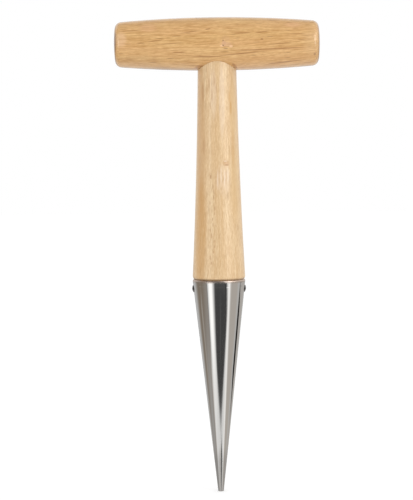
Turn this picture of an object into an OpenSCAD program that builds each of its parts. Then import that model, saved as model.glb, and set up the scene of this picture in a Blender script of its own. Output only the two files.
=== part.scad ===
// Hand dibber with a T grip: a turned hardwood crossbar on a flared stem,
// and a hollow polished steel cone that makes the planting holes.
// Frame: the origin is the middle of the blunt tip, +Z runs up the stem and
// the crossbar lies along X. The front, with the filled pin hole, faces -Y.
// All lengths are in millimetres.

/* [Crossbar] */
// Length of the crossbar from end to end
crossbar_length = 125; // [100:0.5:160]
// Diameter at the middle of the barrel
crossbar_d = 32.2; // [29:0.1:38]
// Diameter that the barrel has at its ends, before the edges are rounded
crossbar_end_d = 26.7; // [22:0.1:28]
// Radius of the rounding round each end
end_round = 4.2; // [1.5:0.1:6]
// Height of the shallow dome on each end face
end_dome = 1; // [0.2:0.1:1.5]

/* [Stem] */
// Length of stem that shows, from the steel rim to the crossbar's underside
stem_length = 127.3; // [90:0.1:180]
// Diameter where the stem meets the crossbar
stem_top_d = 23.6; // [20:0.1:26]
// Depth of the hollow in the stem's side, below a straight taper
stem_hollow = 0.55; // [0.1:0.05:1.5]
// Radius of the rounding at the foot of the stem
foot_round = 3; // [2.5:0.1:5]
// Height of the rounding at the foot of the stem
foot_height = 2.2; // [1:0.1:2.4]

/* [Tenon joint] */
// Diameter of the round tenon on top of the stem
tenon_d = 14; // [12:0.1:16]
// Length of the tenon above the crossbar's underside
tenon_length = 22; // [16:0.5:24]
// Chamfer round the end of the tenon
tenon_chamfer = 0.8; // [0.3:0.1:1.5]
// Glue gap all round the tenon
tenon_gap = 0.1; // [0.05:0.05:0.3]
// Space left for glue above the tenon
tenon_end_gap = 1; // [0.5:0.1:2]
// Gap between the coped shoulder and the crossbar
cope_gap = 0.12; // [0.05:0.01:0.3]

/* [Steel cone] */
// Length of the steel cone from rim to tip
cone_length = 131.2; // [100:0.1:170]
// Diameter of the cone at its rim
cone_rim_d = 32.4; // [29:0.1:38]
// Diameter of the blunt tip
cone_tip_d = 3.4; // [2.6:0.1:6]
// Thickness of the steel sheet
sheet = 1.2; // [1.2:0.1:1.6]
// Radius of the buffed outer edge of the rim
rim_round = 1; // [0.2:0.1:1]
// Radius of the rounding round the blunt tip
tip_round = 0.3; // [0.1:0.1:0.5]
// Length of the solid nose, where the sheet is welded shut
nose_length = 8; // [5:0.5:15]
// Height by which the steel rim stands proud of the wood all round
rim_step = 0.15; // [0:0.05:0.5]

/* [Plug in the cone] */
// Depth of the wooden plug below the rim
plug_depth = 50; // [30:1:70]
// Glue gap between the plug and the steel
plug_gap = 0.05; // [0.02:0.01:0.2]
// Chamfer round the end of the plug
plug_chamfer = 1; // [0.5:0.1:2]

/* [Nails] */
// Distance of the nails below the rim
nail_drop = 5.9; // [4:0.1:12]
// Diameter of a nail's head
nail_head_d = 4.4; // [3.4:0.1:5.2]
// Height of a nail's head over the steel
nail_head_h = 0.95; // [0.6:0.05:1.4]
// Height of the upright edge of the head
nail_edge_h = 0.25; // [0.1:0.05:0.4]
// Diameter of a nail's shank
nail_d = 1.8; // [1.4:0.1:2.4]
// Length of a nail below its head
nail_length = 12; // [8:0.5:14]
// Length of a nail's point
nail_point = 2.4; // [1:0.1:3]
// Clearance round the shank where it passes the steel
nail_clearance = 0.1; // [0.05:0.05:0.2]

/* [Grip pin] */
// Diameter of the headless pin that locks the tenon
pin_d = 1.6; // [1.2:0.1:2.4]
// Length of the pin
pin_length = 24; // [20:0.5:25]
// Distance of the pin to the right of the stem's axis
pin_offset = 4.2; // [-4.5:0.1:4.5]
// Distance of the pin below the crossbar's axis
pin_drop = 0.8; // [-2:0.1:2]
// Depth of the pin's end below the front of the crossbar
pin_sink = 1.6; // [1:0.1:2.5]
// Diameter of the filled hole over the pin
filler_d = 2.6; // [2.5:0.1:4]

/* [Hidden] */
$fn = 96;
// Steps along half the barrel, the stem's flare and each small rounding
barrel_steps = 14;
flare_steps = 24;
round_steps = 8;
// Diameter of the blunted end of a nail's point
nail_tip_d = 0.4;
// Half the included angle of a drill's point
drill_angle = 60;
// Gap round what is driven or pressed into its own hole
driven_fit = 0.01;
// How far a cutter runs past the face that it cuts
over = 1;

// Heights above the tip
rim_z = cone_length;
underside_z = rim_z + stem_length;
axis_z = underside_z + crossbar_d / 2;
nail_z = rim_z - nail_drop;

// The steel cone's slope, and its sheet measured along a radius
cone_slope = (cone_rim_d - cone_tip_d) / 2 / cone_length;
cone_angle = atan(cone_slope);
sheet_r = sheet / cos(cone_angle);

// The stem is turned to the rim's size, less the step that shows
stem_base_d = cone_rim_d - 2 * rim_step;

// Where the sunk end of the pin lies
pin_end = [pin_offset, -crossbar_d / 2 + pin_sink, axis_z - pin_drop];

// Radius of the steel cone's outside at a height above the tip
function outer_r(z) = cone_tip_d / 2 + z * cone_slope;

// Points on a circle round c, from angle a0 to a1; first 1 leaves out the start
function arc(c, r, a0, a1, steps, first = 0) =
    [for (i = [first:steps]) let (a = a0 + (a1 - a0) * i / steps) c + r * [cos(a), sin(a)]];

// Radius of an arc over a chord that it bows out from by the given rise
function arc_radius(chord, rise) = (chord * chord / 4 + rise * rise) / (2 * rise);

// Where two circles cross, on the left of the line from c1 to c2
function crossing(c1, r1, c2, r2) =
    let (
        gap = norm(c2 - c1),
        ahead = (c2 - c1) / gap,
        along = (r1 * r1 - r2 * r2 + gap * gap) / (2 * gap)
    )
    c1 + along * ahead + sqrt(r1 * r1 - along * along) * [-ahead.y, ahead.x];

// Direction of a vector, from 0 to 360 degrees
function heading(v) = (atan2(v.y, v.x) + 360) % 360;

// Half of the crossbar's outline, as [radius, distance from the middle]: the
// barrel's long arc, the rounding that touches it, and the end's low dome
function half_bar(grow) =
    let (
        barrel_r = arc_radius(crossbar_length, (crossbar_d - crossbar_end_d) / 2) + grow,
        barrel_c = [crossbar_d / 2 + grow - barrel_r, 0],
        dome_r = arc_radius(crossbar_end_d, end_dome) + grow,
        dome_c = [0, crossbar_length / 2 + grow - dome_r],
        edge_r = end_round + grow,
        edge_c = crossing(barrel_c, barrel_r - edge_r, dome_c, dome_r - edge_r),
        barrel_a = heading(edge_c - barrel_c),
        dome_a = heading(edge_c - dome_c)
    )
    concat(
        arc(barrel_c, barrel_r, 0, barrel_a, barrel_steps),
        arc(edge_c, edge_r, barrel_a, dome_a, round_steps, 1),
        arc(dome_c, dome_r, dome_a, 90, round_steps, 1)
    );

// The turned crossbar before it is drilled, or grown by the cope's gap
module bar_form(grow = 0) {
    right = half_bar(grow);
    left = [for (i = [len(right) - 1:-1:1]) [right[i].x, -right[i].y]];
    translate([0, 0, axis_z])
        rotate([0, 90, 0])
            rotate_extrude()
                polygon(concat(left, right));
}

// Hole for the headless pin, which starts at the pin's sunk end
module pin_hole() {
    translate(pin_end)
        rotate([-90, 0, 0])
            cylinder(h = pin_length, d = pin_d + 2 * driven_fit);
}

// The punched mouth of the pin's hole, out past the front of the crossbar
module pin_mouth(d) {
    translate(pin_end)
        rotate([90, 0, 0])
            cylinder(h = pin_sink + over, d = d);
}

module crossbar() {
    mortise_r = tenon_d / 2 + tenon_gap;
    mortise_depth = tenon_length + tenon_end_gap;
    color([0.84, 0.67, 0.46])
        difference() {
            bar_form();
            // Blind mortise, with the low cone that the drill's point leaves
            translate([0, 0, underside_z - over])
                cylinder(h = mortise_depth + over, r = mortise_r);
            translate([0, 0, underside_z + mortise_depth])
                cylinder(h = mortise_r / tan(drill_angle), r1 = mortise_r, r2 = 0);
            pin_hole();
            pin_mouth(filler_d + 2 * driven_fit);
        }
}

// Side of the stem, as [radius, height]: the rounded foot, then a hollow flare
// whose arc bows in between the foot and the crossbar
function stem_side() =
    let (
        base = [stem_base_d / 2, rim_z + foot_height],
        top = [stem_top_d / 2, underside_z],
        chord = norm(top - base),
        along = (top - base) / chord,
        outward = [along.y, -along.x],
        flare_r = arc_radius(chord, stem_hollow),
        flare_c = (base + top) / 2 + outward * (flare_r - stem_hollow),
        base_a = heading(base - flare_c),
        top_a = heading(top - flare_c),
        foot_a = base_a - 180,
        foot_c = base - foot_round * [cos(foot_a), sin(foot_a)]
    )
    concat(
        arc(foot_c, foot_round, asin((rim_z - foot_c.y) / foot_round), foot_a, round_steps),
        arc(flare_c, flare_r, base_a, top_a, flare_steps, 1)
    );

// Tapered plug that fills the top of the cone, as [radius, height]
function plug_side() =
    let (
        inset = sheet_r + plug_gap,
        foot_z = rim_z - plug_depth
    )
    [
        [0, foot_z],
        [outer_r(foot_z) - inset - plug_chamfer, foot_z],
        [outer_r(foot_z + plug_chamfer) - inset, foot_z + plug_chamfer],
        [outer_r(rim_z) - inset, rim_z]
    ];

module stem() {
    color([0.9, 0.79, 0.62])
        difference() {
            union() {
                // Turned body, coped to fit round the crossbar's underside
                difference() {
                    rotate_extrude()
                        polygon(concat(plug_side(), stem_side(), [[stem_top_d / 2, axis_z], [0, axis_z]]));
                    bar_form(cope_gap);
                }
                // Tenon, which starts inside the body and ends in a chamfer
                translate([0, 0, underside_z - over])
                    cylinder(h = tenon_length - tenon_chamfer + over, d = tenon_d);
                translate([0, 0, underside_z + tenon_length - tenon_chamfer])
                    cylinder(h = tenon_chamfer, d1 = tenon_d, d2 = tenon_d - 2 * tenon_chamfer);
            }
            pin_hole();
            both_sides() nail_shank(driven_fit, over);
        }
}

// The outside of the steel cone as a solid, rounded at its rim and tip
module cone_form() {
    tip_c = [outer_r(tip_round) - tip_round / cos(cone_angle), tip_round];
    rim_c = [outer_r(rim_z - rim_round) - rim_round / cos(cone_angle), rim_z - rim_round];
    rotate_extrude()
        polygon(concat(
            [[0, 0]],
            arc(tip_c, tip_round, -90, -cone_angle, round_steps),
            arc(rim_c, rim_round, -cone_angle, 90, round_steps),
            [[0, rim_z]]
        ));
}

module steel_cone() {
    color([0.78, 0.77, 0.75])
        difference() {
            cone_form();
            // Hollow of the cone, down to the welded nose
            translate([0, 0, nose_length])
                cylinder(
                    h = rim_z - nose_length + over,
                    r1 = outer_r(nose_length) - sheet_r,
                    r2 = outer_r(rim_z + over) - sheet_r
                );
            both_sides() nail_shank(nail_clearance, over);
        }
}

// Puts its children on the cone's side: 0 on the steel and +Z straight out
module at_side(side) {
    mirror([side < 0 ? 1 : 0, 0, 0])
        translate([outer_r(nail_z), 0, nail_z])
            rotate([0, 90 + cone_angle, 0])
                children();
}

module both_sides() {
    for (side = [-1, 1]) at_side(side) children();
}

// Shank and point of a nail, grown by a gap and run out past the steel
module nail_shank(gap, out) {
    r = nail_d / 2 + gap;
    translate([0, 0, -nail_length + nail_point])
        cylinder(h = nail_length - nail_point + out, r = r);
    translate([0, 0, -nail_length])
        cylinder(h = nail_point, r1 = nail_tip_d / 2 + gap, r2 = r);
}

// Domed head of a nail, run in below the steel's face
module nail_head() {
    dome_h = nail_head_h - nail_edge_h;
    dome_r = arc_radius(nail_head_d, dome_h);
    rotate_extrude()
        polygon(concat(
            [[0, -over], [nail_head_d / 2, -over]],
            arc([0, nail_head_h - dome_r], dome_r, asin(1 - dome_h / dome_r), 90, round_steps)
        ));
}

// A round-head nail, whose head sits close on the curved steel
module nail(side) {
    color([0.42, 0.41, 0.4])
        union() {
            difference() {
                at_side(side) nail_head();
                cone_form();
            }
            at_side(side) nail_shank(0, nail_edge_h);
        }
}

module left_nail() { nail(-1); }
module right_nail() { nail(1); }

module grip_pin() {
    color([0.5, 0.5, 0.5])
        translate(pin_end)
            rotate([-90, 0, 0])
                cylinder(h = pin_length, d = pin_d);
}

// Putty over the sunk pin, flush with the front of the crossbar
module pin_filler() {
    color([0.9, 0.74, 0.56])
        intersection() {
            bar_form();
            pin_mouth(filler_d);
        }
}

crossbar();
stem();
steel_cone();
left_nail();
right_nail();
grip_pin();
pin_filler();
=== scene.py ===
"""Looks of a hand dibber: a turned T grip, a flared stem and a hollow polished steel cone.

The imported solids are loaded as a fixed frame. Each sub-assembly is a class that takes its
place and main sizes from that frame, models its pieces and dresses them. Lengths are in
metres. +Z runs up the stem from the blunt tip, the crossbar lies along X and the front
faces -Y.
"""

import logging
import math
import random
from collections.abc import Callable, Sequence
from dataclasses import dataclass, field
from enum import Enum
from functools import cache
from typing import Any

import bmesh
import bpy
from mathutils import Color, Matrix, Vector


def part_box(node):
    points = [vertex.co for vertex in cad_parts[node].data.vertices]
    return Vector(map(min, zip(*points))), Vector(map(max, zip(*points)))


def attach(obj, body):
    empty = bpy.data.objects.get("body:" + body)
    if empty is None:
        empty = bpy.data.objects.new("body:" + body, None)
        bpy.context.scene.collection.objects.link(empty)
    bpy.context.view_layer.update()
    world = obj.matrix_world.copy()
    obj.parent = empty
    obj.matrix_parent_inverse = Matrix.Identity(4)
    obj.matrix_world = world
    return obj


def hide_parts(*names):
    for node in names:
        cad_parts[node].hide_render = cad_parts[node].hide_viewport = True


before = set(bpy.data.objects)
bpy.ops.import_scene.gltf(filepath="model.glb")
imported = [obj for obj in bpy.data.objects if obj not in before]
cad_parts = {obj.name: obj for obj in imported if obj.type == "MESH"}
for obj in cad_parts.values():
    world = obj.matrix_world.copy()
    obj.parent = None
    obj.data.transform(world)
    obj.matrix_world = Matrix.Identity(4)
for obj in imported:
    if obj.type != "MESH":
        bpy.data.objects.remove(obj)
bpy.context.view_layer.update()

LOG = logging.getLogger("dibber")
BODY = "root"
MM = 0.001

Piece = bpy.types.Object
Material = bpy.types.Material
Node = bpy.types.Node
Socket = bpy.types.NodeSocket
Value = float | Sequence[float] | Socket
Triple = tuple[float, float, float]
Range = tuple[float, float]
Colour = tuple[float, float, float, float]
Point = tuple[float, float]
Outline = list[Point]

SEGMENTS = 192
SMALL_SEGMENTS = 64
SMOOTH_ANGLE = math.radians(35)
CUTTER_OVERRUN = 1 * MM
ON_AXIS = 0.001 * MM
STRAIGHT_DOWN = -90.0
STRAIGHT_UP = 90.0
# Where the mixing node has its colour among its outputs
MIXED_COLOUR = 2


class Axis(Enum):
    """The line that a piece is turned about, or along which its grain runs."""

    X = Vector((1, 0, 0))
    Z = Vector((0, 0, 1))


class Slot(Enum):
    """The record's material slots."""

    CROSSBAR_WOOD = "crossbar_wood"
    STEM_WOOD = "stem_wood"
    POLISHED_STEEL = "polished_steel"
    NAIL_STEEL = "nail_steel"
    WOOD_FILLER = "wood_filler"


class Cut(Enum):
    """What one solid does to another."""

    TAKE_AWAY = "DIFFERENCE"
    KEEP_SHARED = "INTERSECT"
    JOIN = "UNION"


class Side(Enum):
    """The two sides that have a nail, as a turn about the stem from the right one."""

    RIGHT = 0.0
    LEFT = math.pi


def mm(*lengths: float) -> tuple[float, ...]:
    """Turn lengths in millimetres into metres."""
    return tuple(length * MM for length in lengths)


def screen(red: float, green: float, blue: float) -> Colour:
    """Turn a colour as a screen shows it, in parts up to 255, into linear light."""
    shown = Color((red / 255, green / 255, blue / 255))
    return (*shown.from_srgb_to_scene_linear(), 1.0)


def grey(level: float, warmth: float = 0.0) -> Colour:
    """Return a grey of a linear level, a little warmer in red and cooler in blue."""
    return (level * (1 + warmth), level, level * (1 - warmth), 1.0)


# Outlines


@dataclass(frozen=True)
class Circle:
    """A circle in the plane of an outline, where a point is (distance out, distance along)."""

    centre: Vector
    radius: float

    def heading(self, point: Vector) -> float:
        """Return the direction from the centre to a point, from 0 to a full turn."""
        offset = point - self.centre
        return math.atan2(offset.y, offset.x) % math.tau

    def at(self, angle: float) -> Point:
        """Return the point at an angle, in radians."""
        out, along = math.cos(angle), math.sin(angle)
        return (self.centre.x + self.radius * out, self.centre.y + self.radius * along)

    def arc(self, start: float, end: float, steps: int) -> Outline:
        """Return the points from one angle to another, one more than the even steps."""
        return [self.at(start + (end - start) * i / steps) for i in range(steps + 1)]

    def shrunk(self, amount: float) -> "Circle":
        """Return the circle with its radius made smaller by an amount."""
        return Circle(self.centre, self.radius - amount)

    def crossing(self, other: "Circle") -> Vector:
        """Find where two circles cross.

        Args:
            other: The other circle.

        Returns:
            The crossing on the left of the line from this centre to the other one.
        """
        gap = (other.centre - self.centre).length
        ahead = (other.centre - self.centre) / gap
        along = (self.radius ** 2 - other.radius ** 2 + gap ** 2) / (2 * gap)
        aside = math.sqrt(self.radius ** 2 - along ** 2)
        return self.centre + along * ahead + aside * Vector((-ahead.y, ahead.x))


def arc_radius(chord: float, rise: float) -> float:
    """Return the radius of an arc over a chord that it bows out from by the rise."""
    return (chord ** 2 / 4 + rise ** 2) / (2 * rise)


# Modelling


def take(piece: Piece) -> None:
    """Select one piece alone and make it the active object.

    Args:
        piece: The piece.
    """
    bpy.ops.object.select_all(action="DESELECT")
    piece.select_set(True)
    bpy.context.view_layer.objects.active = piece


def settle(piece: Piece, place: Matrix = Matrix.Identity(4)) -> None:
    """Move a piece and keep the move in its mesh, so that its object stays at the origin.

    Args:
        piece: The piece to move.
        place: Where it goes, on top of where it is.
    """
    take(piece)
    piece.matrix_world = place @ piece.matrix_world
    bpy.ops.object.transform_apply(location=True, rotation=True, scale=True)


def smooth(piece: Piece) -> None:
    """Shade a piece smooth, except across its sharp edges."""
    take(piece)
    bpy.ops.object.shade_smooth_by_angle(angle=SMOOTH_ANGLE)


def select_where(piece: Piece, test: Callable[[bmesh.types.BMVert], bool]) -> None:
    """Select the vertices that pass a test, and what lies between them, in edit mode.

    Args:
        piece: The piece in edit mode.
        test: Says whether a vertex is wanted.
    """
    bpy.ops.mesh.select_all(action="DESELECT")
    shape = bmesh.from_edit_mesh(piece.data)
    shape.verts.index_update()
    for vertex in shape.verts:
        vertex.select = test(vertex)
    shape.select_flush(True)
    bmesh.update_edit_mesh(piece.data)


def work(piece: Piece, tool: Piece, how: Cut) -> None:
    """Cut or join a piece with a tool solid, which is used up.

    Args:
        piece: The piece that changes.
        tool: The solid that works on it.
        how: What the solid does.
    """
    take(piece)
    cut = piece.modifiers.new(how.name.lower(), "BOOLEAN")
    cut.object = tool
    cut.operation = how.value
    cut.solver = "EXACT"
    bpy.ops.object.modifier_apply(modifier=cut.name)
    bpy.data.objects.remove(tool)


def towards_front(middle: Vector) -> Matrix:
    """Return the turn and move that point a piece from +Z to the front, in line with a place."""
    return Matrix.Translation((middle.x, 0, middle.z)) @ Matrix.Rotation(math.pi / 2, 4, "X")


@dataclass(frozen=True)
class Lathe:
    """Turns solids about an axis through a point."""

    axis: Axis = Axis.Z
    centre: Vector = field(default_factory=lambda: Vector((0, 0, 0)))
    segments: int = SEGMENTS

    def place(self, along: float) -> Vector:
        """Return the point on the axis at a distance from the lathe's centre."""
        return self.centre + self.axis.value * along

    def turn(self, name: str, outline: Outline) -> Piece:
        """Turn a closed solid.

        A ring is added at the outline's first point off the axis, then extruded and scaled
        to each next one. Both ends are closed with a fan of faces.

        Args:
            name: The name of the new piece.
            outline: Points as (radius, distance along the axis), from end to end.

        Returns:
            The turned piece, with its place in its mesh.
        """
        rings = [point for point in outline if point[0] > ON_AXIS]
        bpy.ops.mesh.primitive_circle_add(
            vertices=self.segments,
            radius=rings[0][0],
            location=self.place(rings[0][1]),
            rotation=Axis.Z.value.rotation_difference(self.axis.value).to_euler(),
        )
        piece = bpy.context.object
        piece.name = name
        settle(piece)
        bpy.ops.object.mode_set(mode="EDIT")
        bpy.ops.mesh.select_all(action="SELECT")
        for (last_radius, last_along), (radius, along) in zip(rings, rings[1:]):
            self.extrude(along - last_along)
            self.resize(radius / last_radius, along)
        self.close(outline[-1][1] - rings[-1][1])
        select_where(piece, lambda vertex: vertex.index < self.segments)
        self.close(outline[0][1] - rings[0][1])
        bpy.ops.mesh.select_all(action="SELECT")
        bpy.ops.mesh.normals_make_consistent(inside=False)
        bpy.ops.object.mode_set(mode="OBJECT")
        smooth(piece)
        return piece

    def extrude(self, step: float) -> None:
        """Extrude what is selected by a step along the axis."""
        bpy.ops.mesh.extrude_region_move(TRANSFORM_OT_translate={"value": self.axis.value * step})

    def resize(self, factor: float, along: float) -> None:
        """Scale what is selected, at a distance along the axis, towards or away from the axis."""
        scale = Vector((factor, factor, factor)) + self.axis.value * (1 - factor)
        bpy.ops.transform.resize(value=scale, center_override=self.place(along))

    def close(self, step: float) -> None:
        """Close the selected ring with a fan whose tip is a step along the axis."""
        self.extrude(step)
        bpy.ops.mesh.merge(type="CENTER")


# Shader nodes


class Graph:
    """Short calls that add nodes to one node tree and link them."""

    def __init__(self, tree: bpy.types.NodeTree) -> None:
        """Start on a node tree."""
        self.tree = tree

    def feed(self, socket: Socket, value: Value) -> None:
        """Link a socket to another one, or set it to a plain value.

        Args:
            socket: The input to feed.
            value: The socket or the plain value that goes in.
        """
        if isinstance(value, Socket):
            self.tree.links.new(value, socket)
        else:
            socket.default_value = value

    def add(
        self, kind: str, values: Sequence[Value] | dict[str, Value] = (), **settings: Any
    ) -> Node:
        """Add a node.

        Args:
            kind: Blender's name for the kind of node.
            values: What goes into its inputs, in their order or by name.
            settings: Its properties.

        Returns:
            The new node.
        """
        node = self.tree.nodes.new(kind)
        for name, setting in settings.items():
            setattr(node, name, setting)
        sockets = list(node.inputs)
        if isinstance(values, dict):
            named = {s.name: s for s in sockets} | {s.identifier: s for s in sockets}
            sockets = [named[name] for name in values]
            values = list(values.values())
        for socket, value in zip(sockets, values):
            self.feed(socket, value)
        return node

    def math(self, operation: str, *values: Value) -> Socket:
        """Work out a number from one to three others."""
        return self.add("ShaderNodeMath", values, operation=operation).outputs[0]

    def vector(self, operation: str, *values: Value) -> Socket:
        """Work out a vector from others, or the number that the operation makes of them."""
        node = self.add("ShaderNodeVectorMath", values, operation=operation)
        return node.outputs["Value" if operation in ("LENGTH", "DOT_PRODUCT") else "Vector"]

    def join(self, x: Value, y: Value, z: Value) -> Socket:
        """Make a vector of three numbers."""
        return self.add("ShaderNodeCombineXYZ", (x, y, z)).outputs[0]

    def split(self, vector: Value) -> list[Socket]:
        """Return a vector's three numbers."""
        return list(self.add("ShaderNodeSeparateXYZ", (vector,)).outputs)

    def noise(self, place: Value, size: Value, detail: float = 2.0, rough: float = 0.5) -> Any:
        """Add noise in patches of a size, with finer layers of a strength; return its outputs."""
        patches = {"Vector": self.vector("DIVIDE", place, size), "Scale": 1.0, "Detail": detail}
        return self.add("ShaderNodeTexNoise", patches | {"Roughness": rough}).outputs

    def remap(
        self, value: Value, low: float, high: float, start: float = 0.0, end: float = 1.0
    ) -> Socket:
        """Turn values from low to high into those from start to end, with soft ends."""
        limits = {"Value": value, "From Min": low, "From Max": high, "To Min": start, "To Max": end}
        return self.add("ShaderNodeMapRange", limits, interpolation_type="SMOOTHSTEP").outputs[0]

    def fade(self, value: Value, low: float, high: float) -> Socket:
        """Return 1 up to the low value and 0 from the high one, with a soft step between."""
        return self.remap(value, low, high, 1.0, 0.0)

    def mix(self, share: Value, first: Value, second: Value) -> Socket:
        """Blend two colours, by the share of the second one."""
        colours = {"Factor_Float": share, "A_Color": first, "B_Color": second}
        return self.add("ShaderNodeMix", colours, data_type="RGBA").outputs[MIXED_COLOUR]

    def group(self, effect: "type[Effect]", **values: Value) -> Any:
        """Place an effect's group, feed its inputs and return its outputs."""
        return self.add("ShaderNodeGroup", values, node_tree=effect.tree()).outputs

    def bump(self, height: Value, depth: float) -> Socket:
        """Turn a height from 0 to 1 into a normal, where 1 is a depth in metres."""
        relief = {"Strength": 1.0, "Distance": depth, "Height": height}
        return self.add("ShaderNodeBump", relief).outputs[0]


class Surface(Graph):
    """A new material, whose colour and roughness are built up mask by mask."""

    def __init__(self, name: str, colour: Value, rough: float, metal: float = 0.0) -> None:
        """Start an even surface.

        Args:
            name: The material's name.
            colour: Its colour.
            rough: Its roughness.
            metal: 1 for metal.
        """
        self.material = bpy.data.materials.new(name)
        self.material.use_nodes = True
        super().__init__(self.material.node_tree)
        self.place = self.add("ShaderNodeTexCoord").outputs["Object"]
        self.colour = colour
        self.rough: Value = rough
        self.shader = self.tree.nodes["Principled BSDF"].inputs
        self.shader["Metallic"].default_value = metal

    def lay(self, mask: Value, strength: float, tint: Colour) -> None:
        """Lay a tint over the colour where a mask is."""
        self.colour = self.mix(self.math("MULTIPLY", mask, strength), self.colour, tint)

    def dull(self, mask: Value, amount: float) -> None:
        """Make the surface rougher, or smoother by an amount below 0, where a mask is."""
        self.rough = self.math("MULTIPLY_ADD", mask, amount, self.rough)

    def finish(self, height: Value, depth: float) -> Material:
        """Connect the shader.

        Args:
            height: The relief, from 0 to 1.
            depth: What a height of 1 is, in metres.

        Returns:
            The material.
        """
        self.feed(self.shader["Base Color"], self.colour)
        self.feed(self.shader["Roughness"], self.rough)
        self.feed(self.shader["Normal"], self.bump(height, depth))
        return self.material


# Effects that more than one material uses


class Effect:
    """A shader group with named inputs and outputs, which its materials share."""

    name: str
    vectors: tuple[str, ...]
    numbers: tuple[str, ...]
    outputs: tuple[str, ...]

    def __post_init__(self) -> None:
        """Make the group."""
        tree = bpy.data.node_groups.new(self.name, "ShaderNodeTree")
        for names, way, kind in (
            (self.vectors, "INPUT", "NodeSocketVector"),
            (self.numbers, "INPUT", "NodeSocketFloat"),
            (self.outputs, "OUTPUT", "NodeSocketFloat"),
        ):
            for name in names:
                tree.interface.new_socket(name=name, in_out=way, socket_type=kind)
        self.graph = Graph(tree)
        self.given = self.graph.add("NodeGroupInput").outputs
        self.out = self.graph.add("NodeGroupOutput").inputs
        self.wire()

    def wire(self) -> None:
        """Fill the group with nodes. Each effect has its own way."""
        raise NotImplementedError

    @classmethod
    @cache
    def tree(cls) -> bpy.types.NodeTree:
        """Return the one group of this effect, made when it is first asked for."""
        return cls().graph.tree


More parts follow.
